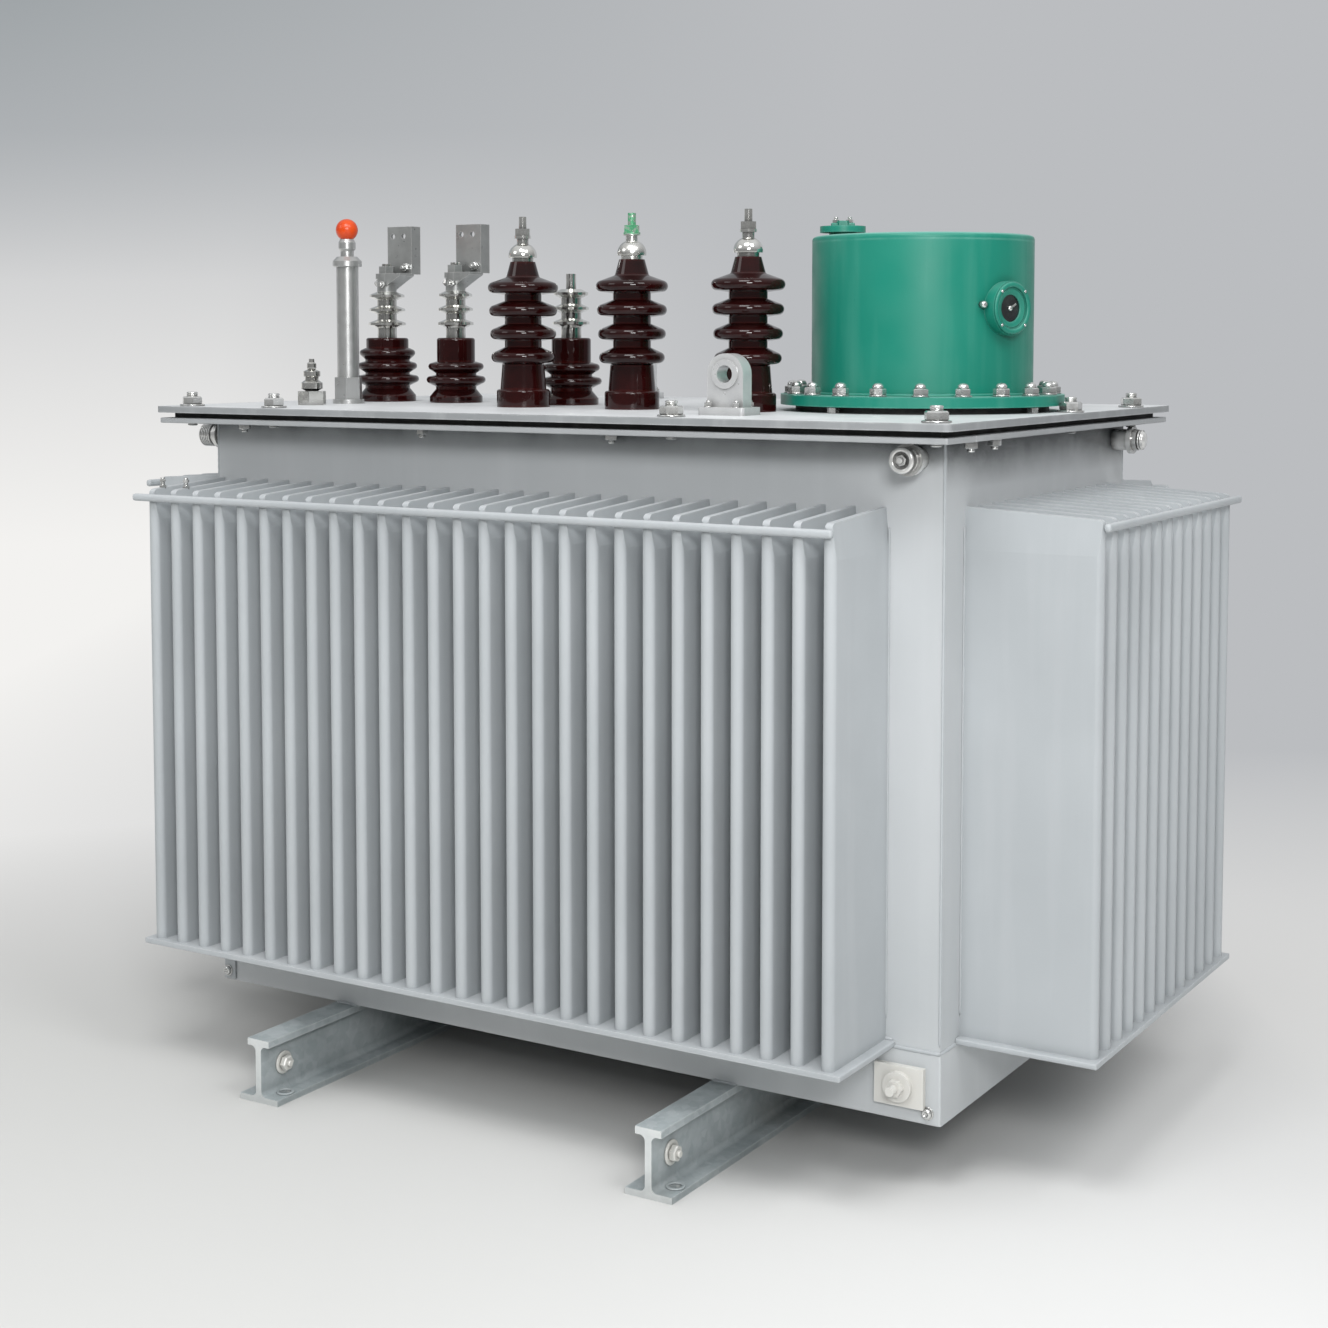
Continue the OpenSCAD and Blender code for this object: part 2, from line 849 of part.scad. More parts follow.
module float_ball() {
  color(orange)
    translate([pipe_x, pipe_y, cover_z + pipe_h + pipe_collar_h + pipe_neck_h])
      difference() {
        translate([0, 0, ball_r - ball_seat])
          sphere(r = ball_r);
        translate([-ball_r, -ball_r, -2 * ball_r])
          cube(2 * ball_r);
      }
}

module relief_valve() {
  base_h = valve_h * 0.3;
  ring_r = valve_r * 0.74;
  collar_r = valve_r * 0.58;
  waist_r = valve_r * 0.46;
  knob_r = valve_r * 0.32;
  color(steel)
    translate([valve_x, valve_y, cover_z]) {
      hex(2 * valve_r, base_h);
      rotate_extrude()
        polygon([
          [0, 0], [waist_r, 0], [waist_r, base_h + 1], [ring_r, base_h + 4], [ring_r, valve_h * 0.48],
          [waist_r, valve_h * 0.54], [waist_r, valve_h * 0.6], [collar_r, valve_h * 0.63],
          [collar_r, valve_h * 0.73], [knob_r - 1, valve_h * 0.77], [knob_r, valve_h * 0.81],
          [knob_r, valve_h * 0.9], [knob_r * 0.6, valve_h * 0.93], [knob_r * 0.6, valve_h], [0, valve_h]
        ]);
    }
}

// Lifting lugs, one at the front and one at the back

module lug_outline() {
  round_z = lug_h - lug_w / 2;
  translate([-lug_w / 2, 0])
    square([lug_w, round_z]);
  translate([0, round_z])
    circle(d = lug_w);
}

module lifting_lug(x, y) {
  hole_z = lug_h - lug_w / 2;
  color(steel)
    translate([x, y, cover_z])
      difference() {
        union() {
          round_plate(lug_foot_l, lug_foot_w, 6, lug_foot_t);
          translate([0, lug_t / 2, 0])
            rotate([90, 0, 0])
              linear_extrude(lug_t)
                lug_outline();
          translate([0, lug_t / 2 + lug_boss_t, hole_z])
            rotate([90, 0, 0])
              cylinder(d = lug_hole_d + 16, h = lug_t + 2 * lug_boss_t);
        }
        translate([0, lug_t, hole_z])
          rotate([90, 0, 0])
            cylinder(d = lug_hole_d, h = 2 * lug_t);
      }
}

// Oil drum

module on_drum(z) {
  translate([drum_x, drum_y, cover_z + z])
    children();
}

module drum_gasket() {
  color(black)
    on_drum(0)
      difference() {
        cylinder(r = drum_seat_r, h = drum_seat_h);
        translate([0, 0, -1])
          cylinder(r = drum_bore_r, h = drum_seat_h + 2);
      }
}

module drum_flange() {
  color(green)
    on_drum(drum_flange_z)
      difference() {
        cylinder(r = drum_flange_r, h = drum_flange_t);
        translate([0, 0, -1])
          cylinder(r = drum_bore_r, h = drum_flange_t + 2);
      }
}

module drum_shell() {
  color(green)
    on_drum(drum_shell_z)
      difference() {
        cylinder(r = drum_r, h = drum_h);
        translate([0, 0, -1])
          cylinder(r = drum_bore_r, h = drum_h + 2);
      }
}

module drum_top() {
  color(green)
    on_drum(drum_top_z)
      rotate_extrude() {
        square([drum_r, drum_top_t - drum_edge_r]);
        square([drum_r - drum_edge_r, drum_top_t]);
        translate([drum_r - drum_edge_r, drum_top_t - drum_edge_r])
          circle(r = drum_edge_r);
      }
}

module drum_cap() {
  color(green)
    on_drum(drum_top_z + drum_top_t)
      rotate([0, 0, cap_angle])
        translate([cap_off, 0, 0]) {
          cylinder(r = cap_r * 0.6, h = cap_neck_h);
          translate([0, 0, cap_neck_h])
            cylinder(r = cap_r, h = cap_t);
          translate([0, 0, cap_neck_h + cap_t])
            hex(cap_r * 0.7, 8);
        }
}

// Oil gauge on the drum wall

gauge_floor = 4;

module at_gauge() {
  on_drum(drum_shell_z + gauge_h)
    rotate([0, 0, gauge_angle])
      rotate([0, 90, 0])
        children();
}

module oil_gauge() {
  color(green)
    difference() {
      at_gauge()
        difference() {
          cylinder(r = gauge_r, h = drum_r + gauge_d);
          translate([0, 0, drum_r + gauge_floor])
            cylinder(r = gauge_glass_r + play, h = gauge_d);
        }
      on_drum(drum_shell_z - 1)
        cylinder(r = drum_r + play, h = drum_h + 2);
    }
}

module gauge_glass() {
  color(black)
    at_gauge()
      translate([0, 0, drum_r + gauge_floor])
        cylinder(r = gauge_glass_r, h = 5);
}

// Lashing bosses just under the rim, one near each corner

module lashing_boss() {
  disc_t = 7;
  head_h = 9;
  rotate([90, 0, 0]) {
    cylinder(r = boss_r, h = boss_l);
    translate([0, 0, boss_l - 2 * disc_t])
      cylinder(r = boss_disc_r, h = disc_t);
    hex(boss_r * 1.3, boss_l + head_h);
  }
}

module lashing_bosses() {
  z = rim_z - boss_drop;
  color(steel)
    for (a = [0, 180])
      rotate([0, 0, a]) {
        translate([side_x - boss_inset, -side_y, z])
          lashing_boss();
        translate([side_x, side_y - boss_inset, z])
          rotate([0, 0, 90])
            lashing_boss();
      }
}

// Earth plate on the front of the pan

module earth_terminal() {
  face = earth_t + earth_boss_l;
  nut_h = 9;
  color(cream)
    translate([side_x - earth_inset, -side_y - pan_step, pan_z + pan_h / 2]) {
      translate([-earth_w / 2, -earth_t, -earth_h / 2])
        cube([earth_w, earth_t, earth_h]);
      rotate([90, 0, 0]) {
        cylinder(r = earth_boss_r, h = face);
        hex(earth_stud_d * 1.9, face + nut_h);
        cylinder(d = earth_stud_d, h = face + nut_h + earth_stud_l);
      }
    }
}

rail(0);  // rail_left
rail(1);  // rail_right
base_pan();
long_wall();  // front_wall
rotate([0, 0, 180]) long_wall();  // back_wall
rotate([0, 0, 180]) end_wall();  // left_wall
end_wall();  // right_wall
long_fins();  // front_fins
rotate([0, 0, 180]) long_fins();  // back_fins
rotate([0, 0, 180]) end_fins();  // left_fins
end_fins();  // right_fins
fin_ledges();
tie_bars();
rim_long_bars();
rim_end_bars();
cover_gasket();
cover_plate();
hv_porcelain(0);  // hv_porcelain_1
hv_porcelain(1);  // hv_porcelain_2
hv_porcelain(2);  // hv_porcelain_3
hv_terminal(0);  // hv_terminal_1
hv_terminal(1);  // hv_terminal_2
hv_terminal(2);  // hv_terminal_3
lv_porcelain(0);  // lv_porcelain_1
lv_porcelain(1);  // lv_porcelain_2
lv_porcelain(2);  // lv_porcelain_3
lv_terminal(0, lv_stud_l);  // lv_terminal_1
lv_terminal(1, lv_stud_l);  // lv_terminal_2
lv_terminal(2, lv_free_l);  // lv_terminal_3
lv_flag(0);  // lv_flag_1
lv_flag(1);  // lv_flag_2
filler_pipe();
float_ball();
relief_valve();
lifting_lug(lug_front_x, -lug_y);  // lifting_lug_front
lifting_lug(lug_back_x, lug_y);  // lifting_lug_back
drum_gasket();
drum_flange();
drum_shell();
drum_top();
drum_cap();
oil_gauge();
gauge_glass();
lashing_bosses();
earth_terminal();
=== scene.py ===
import math
import random

import bmesh
import bpy
from mathutils import Matrix, Vector


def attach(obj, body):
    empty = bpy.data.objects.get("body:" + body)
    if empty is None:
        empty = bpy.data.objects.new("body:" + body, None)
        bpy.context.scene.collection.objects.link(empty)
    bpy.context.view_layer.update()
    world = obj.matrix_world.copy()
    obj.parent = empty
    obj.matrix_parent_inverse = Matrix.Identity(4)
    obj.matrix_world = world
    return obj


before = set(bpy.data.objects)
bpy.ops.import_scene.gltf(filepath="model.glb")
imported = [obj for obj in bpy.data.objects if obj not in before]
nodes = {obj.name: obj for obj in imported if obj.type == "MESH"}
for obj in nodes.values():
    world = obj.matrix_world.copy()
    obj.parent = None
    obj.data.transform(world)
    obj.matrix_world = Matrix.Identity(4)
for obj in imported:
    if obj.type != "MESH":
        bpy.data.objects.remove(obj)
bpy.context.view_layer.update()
scene = bpy.context.scene
rng = random.Random(7)


# Places taken from the CAD nodes, in millimetres

def box_of(name):
    """The lowest and the highest corner of a CAD node."""
    points = [nodes[name].matrix_world @ v.co * 1000 for v in nodes[name].data.vertices]
    low = [round(min(p[i] for p in points), 2) for i in range(3)]
    high = [round(max(p[i] for p in points), 2) for i in range(3)]
    return low, high


def middle_of(name):
    """The middle of a CAD node's box."""
    return [round((a + b) / 2, 1) for a, b in zip(*box_of(name))]


WALL_X = box_of("right_wall")[1][0]
WALL_Y = box_of("back_wall")[1][1]
PAN_X, PAN_Y, PAN_TOP = box_of("base_pan")[1]
PAN_FOOT = box_of("base_pan")[0][2]
LEDGE_TOP = box_of("fin_ledges")[1][2]
FIN_TOP = box_of("front_fins")[1][2]
RIM = box_of("rim_long_bars")[0][2]
COVER_X, COVER_Y, COVER = box_of("cover_plate")[1]
FLANGE_TOP = box_of("drum_flange")[1][2]
DRUM_X, DRUM_Y = middle_of("drum_shell")[:2]
DRUM_R = box_of("drum_shell")[1][0] - DRUM_X
RAIL_XS = [middle_of(name)[0] for name in ("rail_left", "rail_right")]
RAIL_END = box_of("rail_left")[1][1]


# Node materials, in metres

def linear(r, g, b):
    """An sRGB colour with parts from 0 to 255 as linear RGBA."""
    def one(c):
        c /= 255
        return c / 12.92 if c <= 0.04045 else ((c + 0.055) / 1.055) ** 2.4
    return one(r), one(g), one(b), 1


class Shader:
    """A material under construction, with one Principled shader."""

    def __init__(self, name):
        self.material = bpy.data.materials.new(name)
        self.material.use_nodes = True
        self.tree = self.material.node_tree
        self.tree.nodes.clear()
        self.bsdf = self.node("ShaderNodeBsdfPrincipled")
        out = self.node("ShaderNodeOutputMaterial")
        self.link(self.bsdf.outputs[0], out.inputs[0])
        self.coords = self.node("ShaderNodeTexCoord").outputs["Object"]

    def node(self, kind, **settings):
        made = self.tree.nodes.new(kind)
        for key, value in settings.items():
            setattr(made, key, value)
        return made

    def link(self, a, b):
        self.tree.links.new(a, b)

    def put(self, socket, value):
        """Links a socket to another one, or gives it a plain value."""
        if isinstance(value, bpy.types.NodeSocket):
            self.link(value, socket)
        else:
            socket.default_value = value

    def set(self, **values):
        """Sets inputs of the Principled shader, with _ for the spaces in their names."""
        for key, value in values.items():
            self.put(self.bsdf.inputs[key.replace("_", " ")], value)

    def stretched(self, x, y, z):
        made = self.node("ShaderNodeMapping")
        made.inputs["Scale"].default_value = (x, y, z)
        self.link(self.coords, made.inputs["Vector"])
        return made.outputs[0]

    def noise(self, scale, detail=4.0, rough=0.55, coords=None):
        made = self.node("ShaderNodeTexNoise")
        made.inputs["Scale"].default_value = scale
        made.inputs["Detail"].default_value = detail
        made.inputs["Roughness"].default_value = rough
        self.link(coords or self.coords, made.inputs["Vector"])
        return made.outputs["Fac"]

    def cells(self, scale):
        made = self.node("ShaderNodeTexVoronoi")
        made.inputs["Scale"].default_value = scale
        self.link(self.coords, made.inputs["Vector"])
        return made

    def span(self, fac, low, high, out_low=0.0, out_high=1.0):
        """Maps fac from low..high to out_low..out_high, held at the ends."""
        made = self.node("ShaderNodeMapRange", clamp=True)
        self.link(fac, made.inputs["Value"])
        ends = {"From Min": low, "From Max": high, "To Min": out_low, "To Max": out_high}
        for key, value in ends.items():
            made.inputs[key].default_value = value
        return made.outputs["Result"]

    def math(self, operation, a, b):
        made = self.node("ShaderNodeMath", operation=operation)
        self.put(made.inputs[0], a)
        self.put(made.inputs[1], b)
        return made.outputs[0]

    def times(self, a, b):
        return self.math("MULTIPLY", a, b)

    def mix(self, fac, a, b):
        """Colour a where fac is 0 and colour b where it is 1."""
        made = self.node("ShaderNodeMix", data_type="RGBA")
        self.put(made.inputs[0], fac)
        self.put(made.inputs[6], a)
        self.put(made.inputs[7], b)
        return made.outputs[2]

    def height(self):
        """Height above the ground of the shaded point."""
        made = self.node("ShaderNodeSeparateXYZ")
        self.link(self.coords, made.inputs[0])
        return made.outputs["Z"]

    def facing(self, axis):
        """How far the surface looks along an axis, from -1 to 1."""
        made = self.node("ShaderNodeSeparateXYZ")
        self.link(self.node("ShaderNodeNewGeometry").outputs["Normal"], made.inputs[0])
        return made.outputs[axis]

    def upward(self):
        """1 on faces that look up, 0 on walls and undersides."""
        return self.span(self.facing("Z"), 0.5, 0.95)

    def sawn(self):
        """1 on faces square to Y, the sawn ends of the rails."""
        return self.span(self.math("ABSOLUTE", self.facing("Y"), 0.0), 0.9, 0.98)

    def crevice(self, distance, shut=0.25, free=0.9):
        """1 in corners and gaps, 0 in the open."""
        made = self.node("ShaderNodeAmbientOcclusion", samples=2)
        made.inputs["Distance"].default_value = distance
        return self.span(made.outputs["AO"], shut, free, 1.0, 0.0)

    def edge(self, radius):
        """1 along edges, 0 on flat faces."""
        bevel = self.node("ShaderNodeBevel", samples=3)
        bevel.inputs["Radius"].default_value = radius
        dot = self.node("ShaderNodeVectorMath", operation="DOT_PRODUCT")
        self.link(bevel.outputs[0], dot.inputs[0])
        self.link(self.node("ShaderNodeNewGeometry").outputs["Normal"], dot.inputs[1])
        return self.span(dot.outputs["Value"], 0.82, 0.985, 1.0, 0.0)

    def bump(self, height, strength, distance, under=None):
        """Roughens the surface, on top of an earlier bump where one is given."""
        made = self.node("ShaderNodeBump")
        made.inputs["Strength"].default_value = strength
        made.inputs["Distance"].default_value = distance
        self.link(height, made.inputs["Height"])
        if under is not None:
            self.link(under, made.inputs["Normal"])
        self.link(made.outputs[0], self.bsdf.inputs["Normal"])
        return made.outputs[0]


def paint(name, colour, dark, pale, rough, shade_and_grime, gather=0.014, shade_and_dirt_amount=0.5, above=None, dust_and_highlight=(0.05, 0.5)):
    """Sprayed paint: cloudy tone, run marks, painted shade with dirt in corners, paler tops that are dust and
    in part a painted highlight, pale worn edges that are in part a painted highlight, and orange peel.
    """
    s = Shader(name)
    tone = s.mix(s.span(s.noise(2.3, 3), 0.35, 0.68), colour, dark)
    runs = s.span(s.noise(5.0, 3, coords=s.stretched(5, 5, 0.35)), 0.5, 0.8, 0.0, 0.16)
    tone = s.mix(runs, tone, pale)
    specks = s.span(s.noise(150.0, 2), 0.70, 0.78, 0.0, 0.5)
    tone = s.mix(specks, tone, dark)
    # Pale worn edges, in part a painted highlight along the edges.
    worn_and_lit_edges = s.times(s.edge(0.0035), s.span(s.noise(26.0, 5), 0.36, 0.66, 0.1, 0.55))
    tone = s.mix(worn_and_lit_edges, tone, pale)
    # Painted shade with dirt: darker in corners and gaps; where a height band is given, a painted shadow
    # under the rim.
    corners = s.crevice(gather, 0.5, 0.95) if above else s.crevice(gather)
    shade_and_dirt = s.times(corners, s.span(s.noise(12.0, 5), 0.25, 0.75, shade_and_dirt_amount * 0.4, shade_and_dirt_amount))
    if above:
        shade_and_dirt = s.times(shade_and_dirt, s.span(s.height(), *above))
    tone = s.mix(shade_and_dirt, tone, shade_and_grime)
    # Paler upward faces: dust, and where strong a painted highlight of the light from above.
    pale_tops = s.times(s.upward(), s.span(s.noise(7.0, 5), 0.35, 0.75, *dust_and_highlight))
    tone = s.mix(pale_tops, tone, pale)
    s.set(Base_Color=tone)
    s.set(Roughness=s.span(s.noise(18.0, 4), 0.3, 0.7, rough - 0.06, rough + 0.1))
    ripple = s.bump(s.noise(9.0, 2), 0.05, 0.004)
    s.bump(s.noise(420.0, 2), 0.09, 0.0006, ripple)
    return s.material


def metal(name, colour, dark, rough, metallic, scratch=0.04, shade_and_grime=0.3, edges=0.5, fleck=0.3):
    """Plated or bare metal: cloudy plating, fine scratches, painted shade with tarnish in corners, painted
    highlights on edges.
    """
    s = Shader(name)
    tone = s.mix(s.span(s.noise(40.0, 5), 0.35, 0.7), colour, dark)
    flecks = s.span(s.noise(260.0, 3), 0.58, 0.72, 0.0, fleck)
    tone = s.mix(flecks, tone, dark)
    # Painted highlight: edges lighter, as if catching the light.
    tone = s.mix(s.times(s.edge(0.0012), edges), tone, linear(238, 238, 236))
    # Painted shade with tarnish: darker in corners and small hollows.
    tone = s.mix(s.times(s.crevice(0.012), shade_and_grime), tone, linear(52, 50, 46))
    s.set(Base_Color=tone, Metallic=metallic)
    s.set(Roughness=s.span(s.noise(90.0, 4), 0.3, 0.7, rough - 0.03, rough + 0.05))
    lines = s.noise(60.0, 3, coords=s.stretched(3, 3, 26))
    soft = s.bump(lines, scratch, 0.0005)
    s.bump(s.noise(340.0, 3), scratch * 0.5, 0.0005, soft)
    return s.material


def galvanised():
    """Zinc coat with spangle, stains near the ground, bare sawn ends, painted highlights on edges and painted
    shade in corners.
    """
    s = Shader("galvanised")
    spangle = s.cells(95.0)
    part = s.node("ShaderNodeSeparateColor")
    s.link(spangle.outputs["Color"], part.inputs[0])
    tone = s.mix(part.outputs[0], linear(172, 181, 183), linear(188, 195, 197))
    tone = s.mix(s.span(s.noise(11.0, 5), 0.42, 0.7, 0.0, 0.55), tone, linear(138, 148, 151))
    wet = s.span(s.height(), 0.0, 0.05, 0.55, 0.12)
    stain = s.times(s.span(s.noise(4.5, 5), 0.56, 0.72), wet)
    tone = s.mix(stain, tone, linear(128, 118, 104))
    bare = s.times(s.sawn(), s.span(s.noise(50.0, 4), 0.3, 0.7, 0.65, 0.95))
    tone = s.mix(bare, tone, linear(224, 227, 226))
    # Painted highlight on the edges, then painted shade in corners.
    tone = s.mix(s.times(s.edge(0.003), 0.6), tone, linear(222, 226, 225))
    tone = s.mix(s.times(s.crevice(0.05), 0.45), tone, linear(70, 76, 76))
    s.set(Base_Color=tone, Metallic=0.2)
    s.set(Roughness=s.span(part.outputs[1], 0.0, 1.0, 0.44, 0.62))
    grain = s.bump(spangle.outputs["Distance"], 0.05, 0.0008)
    s.bump(s.noise(160.0, 4), 0.12, 0.0008, grain)
    return s.material


def porcelain():
    """Dark red-brown glaze, thinner and redder along the edges."""
    s = Shader("porcelain")
    tone = s.mix(s.span(s.noise(16.0, 4), 0.35, 0.7), linear(40, 9, 9), linear(23, 5, 5))
    tone = s.mix(s.times(s.edge(0.006), 0.45), tone, linear(84, 26, 22))
    specks = s.span(s.noise(420.0, 2), 0.68, 0.76, 0.0, 0.4)
    tone = s.mix(specks, tone, linear(14, 6, 8))
    pale_tops = s.times(s.upward(), s.span(s.noise(30.0, 4), 0.45, 0.8, 0.0, 0.03))
    tone = s.mix(pale_tops, tone, linear(150, 132, 124))
    s.set(Base_Color=tone, Coat_Weight=0.3, Coat_Roughness=0.02, IOR=1.3)
    s.set(Roughness=s.span(s.noise(45.0, 4), 0.3, 0.7, 0.04, 0.09))
    s.bump(s.noise(55.0, 3), 0.035, 0.001)
    return s.material


def rubber():
    s = Shader("gasket")
    tone = s.mix(s.span(s.noise(60.0, 5), 0.35, 0.7), linear(38, 38, 38), linear(62, 61, 59))
    s.set(Base_Color=tone, Roughness=s.span(s.noise(30.0, 4), 0.3, 0.7, 0.62, 0.88))
    s.bump(s.noise(300.0, 4), 0.25, 0.0006)
    return s.material


def plastic():
    s = Shader("orange_plastic")
    tone = s.mix(s.span(s.noise(38.0, 4), 0.35, 0.7), linear(222, 76, 4), linear(202, 60, 3))
    # Painted highlight: upward faces paler orange.
    tone = s.mix(s.times(s.upward(), 0.15), tone, linear(236, 116, 60))
    s.set(Base_Color=tone, Coat_Weight=0.1, Roughness=s.span(s.noise(70.0, 4), 0.3, 0.7, 0.24, 0.4))
    s.bump(s.noise(180.0, 3), 0.06, 0.0006)
    return s.material


def glass():
    """Dark gauge glass with nothing to be seen behind it."""
    s = Shader("gauge_glass")
    tone = s.mix(s.span(s.noise(60.0, 4), 0.4, 0.7), linear(20, 24, 26), linear(40, 46, 46))
    s.set(Base_Color=tone, Coat_Weight=1.0, Coat_Roughness=0.03)
    s.set(Roughness=s.span(s.noise(120.0, 4), 0.4, 0.7, 0.06, 0.2))
    s.bump(s.noise(90.0, 2), 0.02, 0.0006)
    return s.material


def green_topped():
    """The terminal metal with a worn green mark on its stud and nut."""
    s = Shader("marked_terminal")
    tone = s.mix(s.span(s.noise(40.0, 5), 0.35, 0.7), linear(232, 232, 229), linear(210, 209, 204))
    ragged = s.math("ADD", s.height(), s.span(s.noise(120.0, 4), 0.0, 1.0, -0.004, 0.004))
    start = box_of("hv_terminal_2")[1][2] / 1000 - 0.0325
    mark = s.span(ragged, start, start + 0.002, 0.0, 0.9)
    mark = s.times(mark, s.span(s.noise(210.0, 4), 0.34, 0.5, 0.25, 1.0))
    tone = s.mix(mark, tone, linear(30, 150, 96))
    s.set(Base_Color=tone, Metallic=s.span(mark, 0.1, 0.8, 1.0, 0.15))
    s.set(Roughness=s.span(s.noise(90.0, 4), 0.3, 0.7, 0.18, 0.36))
    s.bump(s.noise(340.0, 3), 0.07, 0.0005)
    return s.material


# The SHADE_AND_GRIME colours are painted shade with dirt, for corners and gaps.
PALE, WALL_PALE, SHADE_AND_GRIME = linear(209, 211, 213), linear(213, 215, 217), linear(120, 124, 125)
LEAF, DARK_LEAF, LEAF_SHADE_AND_GRIME = linear(18, 133, 113), linear(13, 122, 103), linear(10, 62, 52)
UNDER_RIM = RIM / 1000

GREY = paint("grey_paint", linear(182, 187, 190), linear(171, 176, 179), PALE, 0.46, SHADE_AND_GRIME)
WALL = paint("wall_paint", linear(198, 201, 203), linear(188, 192, 194), WALL_PALE, 0.46, SHADE_AND_GRIME)
# End and front walls: a painted shadow darkens a band just under the rim.
END_WALL = paint(
    "end_wall_paint", linear(194, 197, 199), linear(184, 188, 190), PALE, 0.46,
    shade_and_grime=linear(40, 44, 46), gather=0.2, shade_and_dirt_amount=2.0, above=(UNDER_RIM - 0.065, UNDER_RIM),
)
FRONT_WALL = paint(
    "front_wall_paint", linear(196, 199, 201), linear(186, 190, 192), WALL_PALE, 0.46,
    shade_and_grime=linear(46, 50, 52), gather=0.12, shade_and_dirt_amount=1.3, above=(UNDER_RIM - 0.035, UNDER_RIM),
)
# Cover: darker paint whose upward faces turn pale, a painted top light with shaded edges.
COVER_PAINT = paint(
    "cover_paint", linear(146, 149, 151), linear(136, 139, 141), linear(230, 232, 234), 0.44, SHADE_AND_GRIME,
    dust_and_highlight=(0.7, 0.95),
)
RIM_PAINT = paint("rim_paint", linear(166, 169, 171), linear(156, 159, 161), PALE, 0.46, SHADE_AND_GRIME)
GREEN = paint("green_paint", LEAF, DARK_LEAF, linear(128, 187, 173), 0.38, LEAF_SHADE_AND_GRIME)
# Drum top and flange: pale upward faces, a painted highlight of the light from above.
TOP_LIT_GREEN = paint(
    "top_lit_green_paint", LEAF, DARK_LEAF, linear(140, 196, 184), 0.38, LEAF_SHADE_AND_GRIME,
    dust_and_highlight=(0.55, 0.9),
)
CREAM = paint(
    "earth_plate", linear(222, 222, 218), linear(211, 210, 205), linear(236, 236, 233), 0.5,
    shade_and_grime=linear(120, 112, 100),
)
ZINC = galvanised()
BOLT = metal("plated_steel", linear(228, 229, 228), linear(210, 210, 207), 0.2, 0.85, shade_and_grime=0.8)
BRIGHT = metal("bright_zinc", linear(234, 233, 228), linear(218, 217, 211), 0.36, 0.3, shade_and_grime=0.5)
PIPE = metal("pipe_steel", linear(200, 201, 200), linear(192, 193, 192), 0.3, 0.85, scratch=0.003, fleck=0.05)
TIN = metal(
    "terminal_metal", linear(240, 240, 237), linear(226, 225, 220), 0.11, 0.96,
    scratch=0.02, shade_and_grime=0.95,
)
FLAG = metal("flag_metal", linear(166, 168, 167), linear(150, 152, 151), 0.3, 0.6, shade_and_grime=0.25, edges=0.9)
LUG = metal(
    "lug_metal", linear(220, 221, 221), linear(208, 209, 210), 0.3, 0.5,
    scratch=0.02, shade_and_grime=0.6, edges=0.8,
)
BOSS = metal(
    "boss_metal", linear(240, 240, 238), linear(228, 228, 226), 0.18, 0.6,
    scratch=0.02, shade_and_grime=0.95, edges=0.7,
)
GLAZE = porcelain()
RUBBER = rubber()
PLASTIC = plastic()
GLASS = glass()
MARKED = green_topped()


# Looks of the CAD nodes

OWN_LOOKS = {
    "base_pan": WALL, "front_wall": FRONT_WALL, "back_wall": FRONT_WALL,
    "left_wall": END_WALL, "right_wall": END_WALL,
    "cover_plate": COVER_PAINT, "cover_gasket": RUBBER,
    "drum_gasket": RUBBER, "drum_flange": TOP_LIT_GREEN, "drum_top": TOP_LIT_GREEN, "gauge_glass": GLASS,
    "hv_terminal_2": MARKED, "earth_terminal": CREAM, "lashing_bosses": BOSS,
    "filler_pipe": PIPE, "float_ball": PLASTIC, "relief_valve": TIN,
}
SHARED_LOOKS = {
    "rail_": ZINC, "rim_": RIM_PAINT, "drum_": GREEN, "oil_": GREEN, "lifting_lug": LUG, "lv_flag": FLAG,
    "hv_porcelain": GLAZE, "lv_porcelain": GLAZE, "hv_terminal": TIN, "lv_terminal": TIN,
}


def looks_of(name):
    """A node's own material, or that of its kind, or the grey paint."""
    if name in OWN_LOOKS:
        return OWN_LOOKS[name]
    for start, material in SHARED_LOOKS.items():
        if name.startswith(start):
            return material
    return GREY


def soften(obj, width, steps):
    """Rounds a CAD node's sharp edges for the light to catch."""
    weld = obj.modifiers.new("weld", "WELD")
    weld.merge_threshold = 0.00002
    bevel = obj.modifiers.new("bevel", "BEVEL")
    bevel.width = width
    bevel.segments = steps
    bevel.limit_method = "ANGLE"
    bevel.angle_limit = math.radians(50)
    normals = obj.modifiers.new("normals", "WEIGHTED_NORMAL")
    normals.keep_sharp = False


for name, obj in nodes.items():
    obj.data.materials.clear()
    obj.data.materials.append(looks_of(name))

# Width in metres and number of steps of each rounding
SOFT_EDGES = {
    "base_pan": (0.003, 2), "fin_ledges": (0.002, 2), "tie_bars": (0.004, 3),
    "cover_plate": (0.002, 2), "rim_long_bars": (0.0015, 2), "rim_end_bars": (0.0015, 2),
}
for name, (width, steps) in SOFT_EDGES.items():
    soften(nodes[name], width, steps)


# Mesh building, in millimetres

UP = Matrix.Identity(3)
DOWN = Matrix.Rotation(math.pi, 3, "X")
FRONT = Matrix.Rotation(math.pi / 2, 3, "X")
BACK = Matrix.Rotation(-math.pi / 2, 3, "X")
RIGHT = Matrix.Rotation(math.pi / 2, 3, "Y")
LEFT = Matrix.Rotation(-math.pi / 2, 3, "Y")


def circle(radius, z, steps, spin=0.0):
    """Points evenly spaced on a level circle round the Z axis."""
    angles = [math.tau * i / steps + spin for i in range(steps)]
    return [(radius * math.cos(a), radius * math.sin(a), z) for a in angles]


